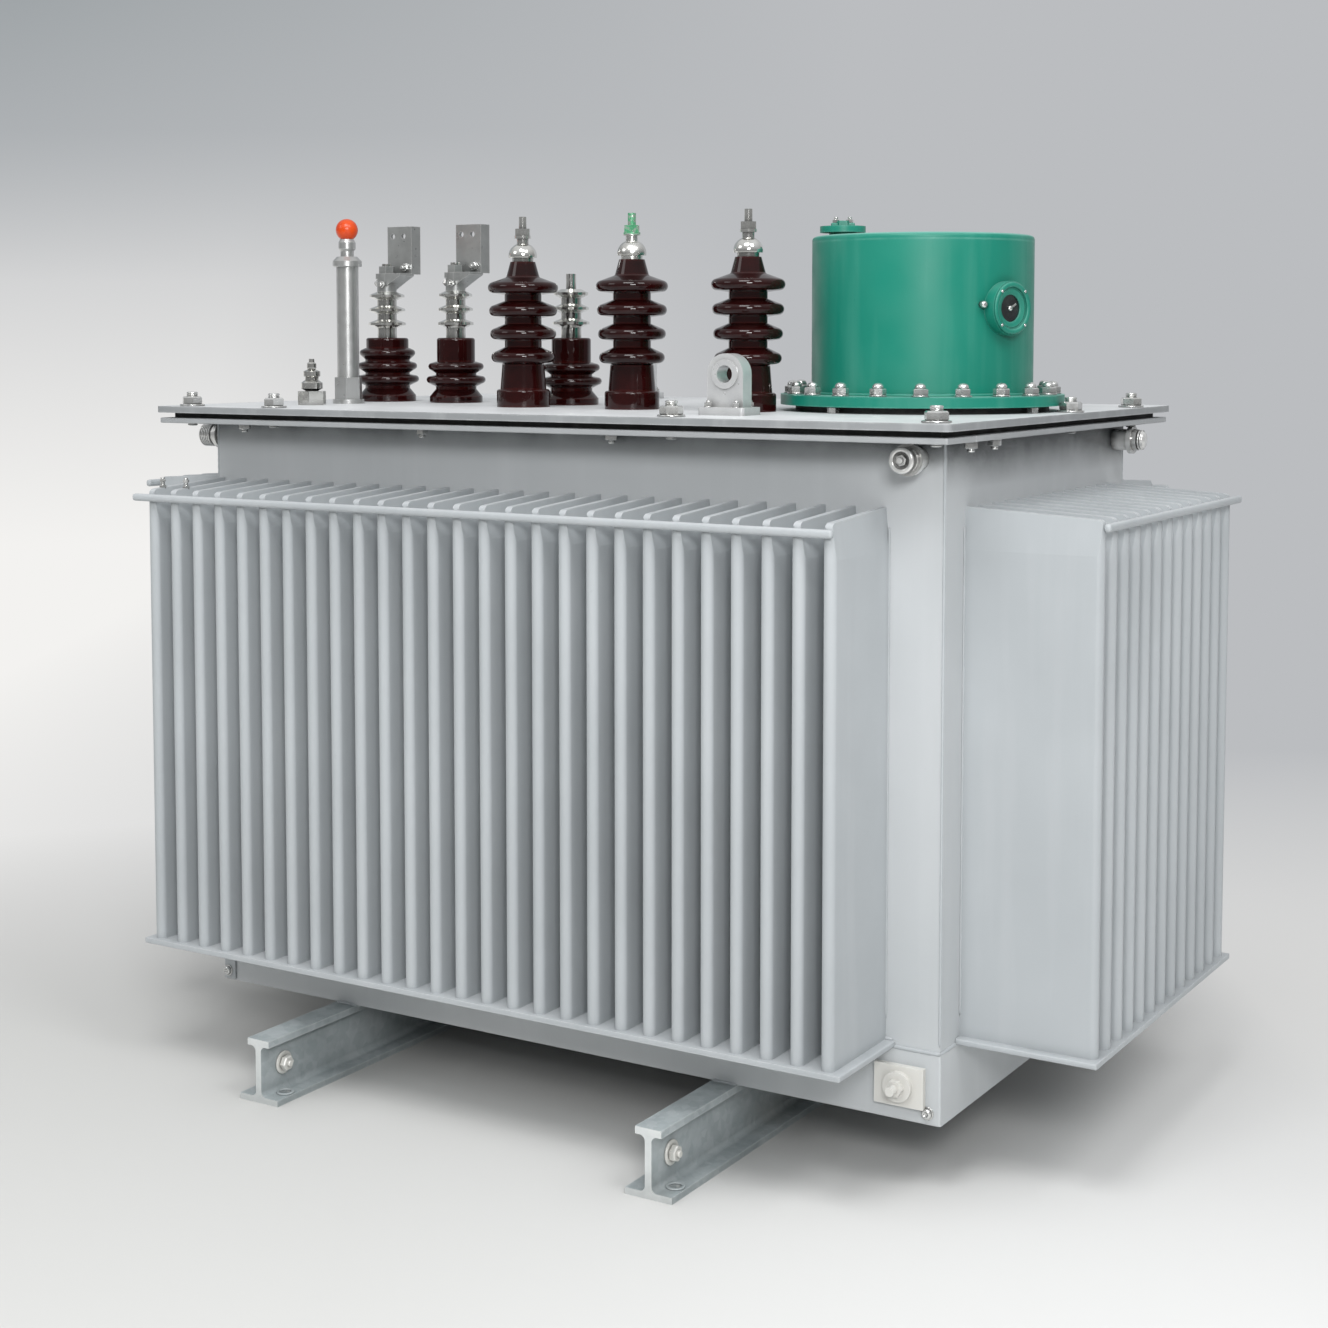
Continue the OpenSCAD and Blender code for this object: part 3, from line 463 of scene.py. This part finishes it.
class Piece:
    """Gathers shapes into one mesh, given in millimetres, and hands it over as a piece of the object."""

    def __init__(self, name, material, slot):
        self.name, self.material, self.slot = name, material, slot
        self.bm = bmesh.new()

    def place(self, verts, at, turn):
        bmesh.ops.transform(self.bm, matrix=Matrix.Translation(at) @ turn.to_4x4(), verts=verts)

    def skin(self, loops, smooth=True, ring=False):
        """Skins equal closed loops of points. A ring returns to its first loop, others get end faces."""
        rows = [[self.bm.verts.new(p) for p in loop] for loop in loops]
        steps = len(rows[0])
        following = rows[1:] + rows[:1] if ring else rows[1:]
        for a, b in zip(rows, following):
            for i in range(steps):
                j = (i + 1) % steps
                face = self.bm.faces.new((a[i], a[j], b[j], b[i]))
                face.smooth = smooth
        if not ring:
            self.bm.faces.new(rows[0][::-1])
            self.bm.faces.new(rows[-1])
        return [v for row in rows for v in row]

    def turned(self, profile, at, turn=UP, steps=24, ring=False):
        """Turns a profile of (radius, height) round Z. A ring's profile closes on itself."""
        loops = [circle(r, z, steps) for r, z in profile]
        self.place(self.skin(loops, ring=ring), at, turn)

    def hexagon(self, across, height, at, turn=UP, spin=0.0):
        """A hexagon head or nut with chamfered corners, measured across its flats."""
        r = across / math.sqrt(3)
        cut = across * 0.12
        profile = ((0.93, 0), (1, cut * 0.5), (1, height - cut * 0.55), (0.87, height))
        loops = [circle(r * scale, z, 6, spin) for scale, z in profile]
        self.place(self.skin(loops, smooth=False), at, turn)

    def washer(self, outer, inner, thick, at, turn=UP):
        e = min(0.6, thick * 0.3)
        profile = [
            (inner, 0), (outer - e, 0), (outer, e), (outer, thick - e), (outer - e, thick), (inner, thick),
        ]
        self.turned(profile, at, turn, steps=28, ring=True)

    def thread(self, radius, length, at, turn=UP, pitch=2.0):
        """A bolt end with thread grooves and a chamfered tip."""
        profile, z = [(radius, 0)], 0.0
        while z + pitch < length - 1:
            profile += [(radius, z + pitch * 0.35), (radius * 0.88, z + pitch * 0.7), (radius, z + pitch)]
            z += pitch
        profile += [(radius, length - 1), (radius * 0.8, length)]
        self.turned(profile, at, turn, steps=16)

    def bolt(self, at, turn, across, head, stud=None, washer=None, pitch=2.0):
        """Stacks a washer (outer, inner, thick), a hexagon at a chance angle and a stud (radius, length)."""
        at = Vector(at)
        out = turn @ Vector((0, 0, 1))
        if washer:
            self.washer(*washer, at, turn)
            at = at + out * washer[2]
        self.hexagon(across, head, at, turn, rng.random())
        if stud:
            self.thread(*stud, at + out * head, turn, pitch)

    def block(self, size, at, turn=UP, edge=1.0):
        """A block with rounded edges, standing on its own z = 0."""
        made = bmesh.ops.create_cube(self.bm, size=1.0)["verts"]
        bmesh.ops.scale(self.bm, vec=size, verts=made)
        bmesh.ops.translate(self.bm, vec=(0, 0, size[2] / 2), verts=made)
        edges = list({e for v in made for e in v.link_edges})
        cut = bmesh.ops.bevel(self.bm, geom=edges, offset=edge, segments=2, affect="EDGES", profile=0.5)
        verts = list({v for f in cut["faces"] for v in f.verts} | {v for v in made if v.is_valid})
        self.place(verts, at, turn)

    def bead(self, path, radius, wobble=0.22, step=5.0, closed=False):
        """A weld bead along a path, with the ripple of the weld pool."""
        points = [Vector(p) for p in path]
        if closed:
            points.append(points[0])
        line = []
        for a, b in zip(points, points[1:]):
            count = max(1, round((b - a).length / step))
            line += [a.lerp(b, i / count) for i in range(count)]
        if not closed:
            line.append(points[-1])
        loops = []
        for i, p in enumerate(line):
            before = line[i - 1] if i or closed else p
            after = line[(i + 1) % len(line)] if closed or i + 1 < len(line) else p
            along = (after - before).normalized()
            side = along.orthogonal().normalized()
            up = along.cross(side)
            r = radius * (1 + wobble * (rng.random() - 0.5) + 0.12 * (i % 2))
            if not closed and i in (0, len(line) - 1):
                r *= 0.5
            loops.append([p + side * x + up * y for x, y, _ in circle(r, 0, 8)])
        self.skin(loops, ring=closed)

    def done(self):
        bmesh.ops.remove_doubles(self.bm, verts=self.bm.verts, dist=0.002)
        bmesh.ops.recalc_face_normals(self.bm, faces=self.bm.faces)
        bmesh.ops.scale(self.bm, vec=(0.001, 0.001, 0.001), verts=self.bm.verts)
        mesh = bpy.data.meshes.new(self.name)
        self.bm.to_mesh(mesh)
        self.bm.free()
        mesh.materials.append(self.material)
        obj = bpy.data.objects.new(self.name, mesh)
        scene.collection.objects.link(obj)
        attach(obj, "root")


def both(points):
    """Points with their copies turned half round the tank's middle."""
    return [p for x, y in points for p in ((x, y), (-x, -y))]


def outward(y):
    """The turn from Z to the way out of the long wall on that side."""
    return FRONT if y < 0 else BACK


def round_drum(reach, degrees):
    """The place at a distance and a bearing from the drum's middle."""
    a = math.radians(degrees)
    return DRUM_X + reach * math.cos(a), DRUM_Y + reach * math.sin(a)


# Bolts through cover and rim
row_x, row_y = COVER_X - 20, COVER_Y - 26
front_row = [(x, -row_y) for x in (-612, -446, 252, 636)]
back_row = [(x, row_y) for x in (-550, -312, 446)]
right_row = [(row_x, y) for y in (42, 297)]
left_row = [(-row_x, y) for y in (15, 310)]
bolts = Piece("cover_bolts", BOLT, "plated_steel")
for x, y in front_row + back_row + right_row + left_row:
    bolts.bolt((x, y, COVER), UP, 28, 12, stud=(8.5, 7), washer=(19, 8, 3))
    bolts.thread(7.5, 4, (x, y, RIM), DOWN)
bolts.done()

# Nuts on the short studs under the rim
long_side = [(x, -WALL_Y - 18) for x in (-547, -202, 128)]
end_side = [(WALL_X + 20, y) for y in (-300, -222)]
nuts = Piece("rim_nuts", BOLT, "plated_steel")
for x, y in both(long_side + end_side):
    nuts.bolt((x, y, RIM), DOWN, 16, 8, stud=(5, 5), washer=(10, 5, 2))
nuts.done()

# Drum flange bolts with domed ends, and the spacers under the flange
drum_bolt_count = 20
drum_washer_t, drum_head_h = 2.5, 9
dome = [(8, 0), (8, 2.5), (7, 5), (4.5, 7), (1, 7.8)]
ring = Piece("drum_bolts", BOLT, "plated_steel")
for k in range(drum_bolt_count):
    x, y = round_drum(188, 360 / drum_bolt_count * k - 66)
    ring.bolt((x, y, FLANGE_TOP), UP, 20, drum_head_h, washer=(12.5, 6, drum_washer_t))
    ring.turned(dome, (x, y, FLANGE_TOP + drum_washer_t + drum_head_h), steps=18)
for k in range(4):
    x, y = round_drum(196, 90 * k - 104)
    ring.bolt((x, y, COVER), UP, 15, 9)
ring.done()

# Weld beads round the walls, at their corners, beside the fins, over the ledges and under the rim
weld = Piece("weld_beads", GREY, "grey_paint")
foot_x, foot_y = WALL_X + 0.5, WALL_Y + 0.5
foot = [(-WALL_X, -foot_y), (WALL_X, -foot_y), (foot_x, foot_y), (-foot_x, foot_y)]
weld.bead([(x, y, PAN_TOP) for x, y in foot], 2.6, closed=True)
corner_x, corner_y = WALL_X - 0.8, WALL_Y - 0.8
for x, y in both([(corner_x, -corner_y), (-corner_x, -corner_y)]):
    weld.bead([(x, y, LEDGE_TOP + 1), (x, y, RIM - 1)], 1.8, 0.08)
bead_x, bead_y = WALL_X + 1, WALL_Y + 1
low, high = LEDGE_TOP + 28, FIN_TOP - 26
fin_xs = [corner[0] for corner in box_of("front_fins")]
fin_ys = [corner[1] for corner in box_of("right_fins")]
for side in (1, -1):
    front = -side * bead_y
    end = side * bead_x
    for x in fin_xs:
        weld.bead([(side * x, front, low), (side * x, front, high)], 1.5, 0.15)
    for y in fin_ys:
        weld.bead([(end, side * y, low), (end, side * y, high)], 1.5, 0.15)
    left, right = -side * (WALL_X - 2), side * (WALL_X - 2)
    ledge_end = side * (fin_xs[1] + 10)
    weld.bead([(left, front, LEDGE_TOP + 1), (ledge_end, front, LEDGE_TOP + 1)], 2.4)
    weld.bead([(left, front, RIM), (right, front, RIM)], 2.8)
    weld.bead([(end, 8 - WALL_Y, RIM), (end, WALL_Y - 8, RIM)], 2.8)
weld.done()

# Weld beads between rails and pan
rail_weld = Piece("rail_welds", GREY, "grey_paint")
for x in RAIL_XS:
    for side in (-1, 1):
        along, end = x + side * 20, side * PAN_Y
        rail_weld.bead([(along, -WALL_Y, PAN_FOOT), (along, WALL_Y, PAN_FOOT)], 3.0)
        rail_weld.bead([(x - 19, end, PAN_FOOT), (x + 19, end, PAN_FOOT)], 3.0)
rail_weld.done()

# Weld bead round the foot of the drum
drum_weld = Piece("drum_welds", GREEN, "green_paint")
seam = [(*round_drum(DRUM_R + 1, 4 * k), FLANGE_TOP + 1) for k in range(90)]
drum_weld.bead(seam, 2.6, closed=True, step=12)
drum_weld.done()

# Rail bolts, and the washers round the foot holes
web, bolt_z = 5, 48
rails = Piece("rail_bolts", BRIGHT, "plated_steel")
feet = Piece("foot_washers", ZINC, "galvanised")
for x in RAIL_XS:
    for side in (-1, 1):
        y = side * (RAIL_END - 48)
        rails.bolt((x + web, y, bolt_z), RIGHT, 20, 9, stud=(5, 4), washer=(17, 7, 3))
        rails.bolt((x - web, y, bolt_z), LEFT, 20, 9, washer=(15, 7, 3))
        feet.washer(13, 8.6, 2.5, (x + 21, side * (RAIL_END - 34), 9))
rails.done()
feet.done()

# Bolts at the four corners of each lifting lug's foot
lug_foot_t = 11
lugs = Piece("lug_bolts", BOLT, "plated_steel")
for name in ("lifting_lug_front", "lifting_lug_back"):
    x, y, _ = middle_of(name)
    for across in (-22, 22):
        for along in (-19.5, 19.5):
            at = (x + across, y + along, COVER + lug_foot_t)
            lugs.bolt(at, UP, 9, 5, stud=(3, 3), washer=(5.8, 3, 1.2), pitch=1.2)
lugs.done()

# Bolts on the flags and their clamps
flags = Piece("flag_bolts", BOLT, "plated_steel")
seat = box_of("lv_flag_1")[0][2]
for name in ("lv_terminal_1", "lv_terminal_2"):
    x, y, _ = middle_of(name)
    flags.bolt((x + 27, y + 18, seat + 40), FRONT, 12, 6, (3.5, 6), (7.5, 3.5, 1.5), pitch=1.2)
    flags.bolt((x - 15.5, y, seat + 14), LEFT, 11, 5, (3.5, 4), pitch=1.2)
    flags.bolt((x + 4, y - 15.5, seat + 12), FRONT, 11, 5, (3.5, 4), pitch=1.2)
flags.done()

# Screws by the pan corners
strap_t, screw_washer_t, screw_z = 3.5, 1.5, 110
screw = [(7, 0), (7, 2), (6, 4), (3.5, 5), (3.2, 3.6), (0.4, 3.6)]
screws = Piece("pan_screws", BOLT, "plated_steel")
for x, y in both([(PAN_X - 18, -PAN_Y), (13 - PAN_X, -PAN_Y - strap_t)]):
    screws.washer(9, 4, screw_washer_t, (x, y, screw_z), outward(y))
    screws.turned(screw, (x, y + math.copysign(screw_washer_t, y), screw_z), outward(y))
screws.done()

# Straps under the screws at two of the pan corners
straps = Piece("corner_straps", GREY, "grey_paint")
for x, y in both([(16 - PAN_X, -PAN_Y)]):
    straps.block((22, 62, strap_t), (x, y, 128), outward(y), 1.4)
straps.done()

# Small plugs on the two fins at the front left
plugs = Piece("fin_plugs", BOLT, "plated_steel")
for x, y in ((-610, -466), (-566, -462)):
    plugs.bolt((x, y, FIN_TOP - 10), UP, 10, 5, stud=(3.5, 12), pitch=1.5)
    plugs.bolt((x, y, FIN_TOP), UP, 8, 4)
plugs.done()

# Ribbed caps on the lashing bosses at the ends, and bolted cups on those at front and back
boss_inset, boss_l, rib = 38, 38, 3.6
boss_z = middle_of("lashing_bosses")[2]
boss_front = box_of("lashing_bosses")[0][1]
knobs = Piece("boss_caps", BOSS, "plated_steel")
for side, count, r in ((1, 2, 15), (-1, 6, 18.5)):
    profile = [(r - 4, 0), (r - 1.5, 1)]
    for k in range(count):
        z = rib * k
        profile += [(r, z + 1.8), (r, z + 3.4), (r - 2.3, z + 4.2), (r - 2.3, z + 4.8)]
    profile += [(r - 3.5, rib * count + 2.5), (r - 10, rib * count + 4)]
    at = (side * (WALL_X + boss_l), side * (WALL_Y - boss_inset), boss_z)
    knobs.turned(profile, at, RIGHT if side > 0 else LEFT, steps=28)
cup = [(15, 0), (17, 1.2), (17, 4), (15.8, 5), (12, 5), (11, 4), (11, 2), (0.4, 2)]
for x, y in both([(WALL_X - boss_inset, boss_front)]):
    turn, out = outward(y), math.copysign(1, y)
    knobs.turned(cup, (x, y, boss_z), turn, steps=28)
    knobs.hexagon(13, 4, (x, y + 2 * out, boss_z), turn, 0.3)
    knobs.thread(4, 4, (x, y + 6 * out, boss_z), turn, 1.5)
knobs.done()

# Filler cap: short clamp bar with two bolts
clamp_h = 5
clamp_z = box_of("drum_cap")[1][2] - 8
cap_x, cap_y = round_drum(116, 211)
cap_turn = Matrix.Rotation(math.radians(31), 3, "Z")
clamp = Piece("cap_clamp", GREEN, "green_paint")
clamp.block((34, 12, clamp_h), (cap_x, cap_y, clamp_z), cap_turn, 1.2)
clamp.done()
cap = Piece("cap_bolts", BOLT, "plated_steel")
for reach in (-10, 10):
    off = cap_turn @ Vector((reach, 0, 0))
    cap.bolt((cap_x + off.x, cap_y + off.y, clamp_z + clamp_h), UP, 9, 5, stud=(3, 4), pitch=1.2)
cap.done()

# Oil gauge: bezel, rings, pointer and screws, with face and pane as distances from the drum's axis
face, pane = 174, 169
axis = Matrix.Rotation(math.radians(-20), 3, "Z") @ RIGHT
gauge_at = Vector((DRUM_X, DRUM_Y, middle_of("oil_gauge")[2]))


def on_gauge(across, up, out):
    return gauge_at + axis @ Vector((-up, across, out))


bezel = Piece("gauge_bezel", GREEN, "green_paint")
outer_ring = [(28, face), (31, face + 2.5), (35, face + 2.5), (37.5, face)]
inner_ring = [
    (19, pane), (27.2, pane), (27.2, pane + 4.4), (25, pane + 4.4), (21, pane + 2), (19, pane + 2),
]
for profile in (outer_ring, inner_ring):
    bezel.turned(profile, gauge_at, axis, steps=48, ring=True)
bezel.done()

dial = Piece("gauge_dial", BOLT, "plated_steel")
dial.turned([(4, 0), (4, 1.5), (3, 3), (1, 3.4)], on_gauge(0, 0, pane), axis)
pointer = axis @ Matrix.Rotation(math.radians(28), 3, "Z")
dial.block((3, 15, 1.2), on_gauge(0, 0, pane + 0.4) + pointer @ Vector((0, 6, 0)), pointer, 0.4)
dial.done()

marks = Piece("gauge_screws", BOLT, "plated_steel")
for across, up, _ in circle(33, 0, 4, math.radians(45)):
    marks.turned([(2.2, 0), (2.2, 1), (1.4, 1.8)], on_gauge(across, up, face + 2.3), axis, steps=12)
beside = Matrix.Rotation(math.radians(-35), 3, "Z")
plug_at = gauge_at + beside @ Vector((DRUM_R, 0, 5))
marks.turned([(5, -1), (5, 8), (4, 10), (2, 10.5)], plug_at, beside @ RIGHT, steps=16)
marks.done()


# Floor, backdrop, lights and camera, in metres

VIEW_TURN = math.radians(31.4)


def seen(s):
    """1 for rays from the camera, also by way of glass and gloss, 0 for rays of the lighting."""
    path = s.node("ShaderNodeLightPath")
    through = s.math("MAXIMUM", path.outputs["Is Glossy Ray"], path.outputs["Is Transmission Ray"])
    return s.math("MAXIMUM", path.outputs["Is Camera Ray"], through)


def studio_paint():
    """Pale floor that takes the object's shadow, with a painted shadow near the object and painted light
    growing towards the right, and a backdrop that glows paler on the left, with a painted shade at its upper
    left.
    """
    s = Shader("studio")
    place = s.node("ShaderNodeSeparateXYZ")
    s.link(s.coords, place.inputs[0])
    across, depth, rise = place.outputs
    left = s.span(across, 0.6, -2.2)
    right = s.span(across, 0.6, 1.0)
    glow = s.times(left, s.span(rise, 2.2, 0.2))
    tone = s.mix(glow, linear(187, 189, 192), linear(243, 242, 240))
    shade = s.times(s.span(across, 1.0, -3.4), s.span(rise, 1.4, 2.9))
    tone = s.mix(shade, tone, linear(160, 165, 168))
    # Painted light: on the right the floor glows pale close behind the object.
    tone = s.mix(s.times(right, s.span(depth, 2.4, 0.2)), tone, linear(220, 220, 219))
    reach = s.math("ADD", depth, s.times(left, 1.2))
    reach = s.math("ADD", reach, s.times(right, 1.4))
    far = s.times(s.span(reach, 0.8, 2.3), seen(s))
    # Painted light: the near floor grows paler towards the right.
    near = s.mix(s.span(across, -0.4, 0.7), linear(213, 213, 211), linear(226, 226, 225))
    near = s.mix(s.span(s.noise(0.8, 3), 0.3, 0.7, 0.0, 0.1), near, linear(222, 222, 221))
    # Painted shadow: the floor darkens under and beside the object.
    near = s.mix(s.times(s.crevice(0.16, 0.1, 0.8), 0.45), near, linear(36, 36, 35))
    s.set(Base_Color=s.mix(far, near, (0, 0, 0, 1)), Emission_Color=tone, Emission_Strength=far)
    s.set(Roughness=0.9, Specular_IOR_Level=0.0)
    return s.material


def sweep():
    """Floor that bends up into a wall far behind the object, square to the view."""
    bend_start, bend_r, bend_steps = 5.0, 3.0, 16
    profile = [(-14.0, 0.0), (bend_start, 0.0)]
    for i in range(1, bend_steps + 1):
        a = math.pi / 2 * i / bend_steps
        profile.append((bend_start + bend_r * math.sin(a), bend_r - bend_r * math.cos(a)))
    profile.append((bend_start + bend_r, 9.0))
    bm = bmesh.new()
    rows = [[bm.verts.new((x, y, z)) for x in (-16, 16)] for y, z in profile]
    for a, b in zip(rows, rows[1:]):
        face = bm.faces.new((a[0], a[1], b[1], b[0]))
        face.smooth = True
    mesh = bpy.data.meshes.new("studio")
    bm.to_mesh(mesh)
    bm.free()
    mesh.materials.append(studio_paint())
    obj = bpy.data.objects.new("studio", mesh)
    obj.rotation_euler.z = VIEW_TURN
    scene.collection.objects.link(obj)


def lamp(name, at, aim, size, watts):
    data = bpy.data.lights.new(name, "AREA")
    data.shape = "RECTANGLE"
    data.size, data.size_y = size
    data.energy = watts
    obj = bpy.data.objects.new(name, data)
    obj.location = at
    obj.rotation_euler = (Vector(aim) - Vector(at)).to_track_quat("-Z", "Y").to_euler()
    scene.collection.objects.link(obj)


def studio_air():
    """World light that grows from the horizon to the top."""
    world = bpy.data.worlds.new("studio_air")
    world.use_nodes = True
    air = world.node_tree
    direction = air.nodes.new("ShaderNodeSeparateXYZ")
    air.links.new(air.nodes.new("ShaderNodeTexCoord").outputs["Generated"], direction.inputs[0])
    rise = air.nodes.new("ShaderNodeMapRange")
    air.links.new(direction.outputs["Z"], rise.inputs["Value"])
    for key, value in (("From Min", 0.0), ("From Max", 0.8), ("To Min", 0.2), ("To Max", 0.66)):
        rise.inputs[key].default_value = value
    background = air.nodes["Background"]
    air.links.new(rise.outputs["Result"], background.inputs["Strength"])
    background.inputs["Color"].default_value = (0.98, 0.99, 1.0, 1)
    scene.world = world


def photo_camera():
    """The camera fitted to the photograph, whose frame and focal length are given in pixels."""
    frame_px, focal_px, sensor_mm = 1328, 2125.2, 36
    camera = bpy.data.cameras.new("camera")
    camera.sensor_width = sensor_mm
    camera.lens = focal_px / frame_px * sensor_mm
    camera.shift_y = -0.134
    camera.clip_end = 100
    view = bpy.data.objects.new("camera", camera)
    view.location = (1.7184, -2.8190, 1.1166)
    view.rotation_euler = (math.radians(86), 0, VIEW_TURN)
    scene.collection.objects.link(view)
    scene.camera = view


sweep()
lamp("key", (2.8, -1.3, 4.0), (0.2, 0, 0.6), (1.3, 1.3), 34)
lamp("front", (2.5, -3.6, 2.3), (0.1, -0.2, 0.55), (1.2, 0.8), 79)
lamp("top", (0.7, -2.3, 4.0), (0.1, -0.2, 0.4), (1.6, 1.3), 60)
lamp("fill", (-2.4, -3.0, 3.0), (-0.3, -0.2, 0.5), (1.6, 1.2), 14)
studio_air()
photo_camera()
scene.view_settings.view_transform = "Standard"
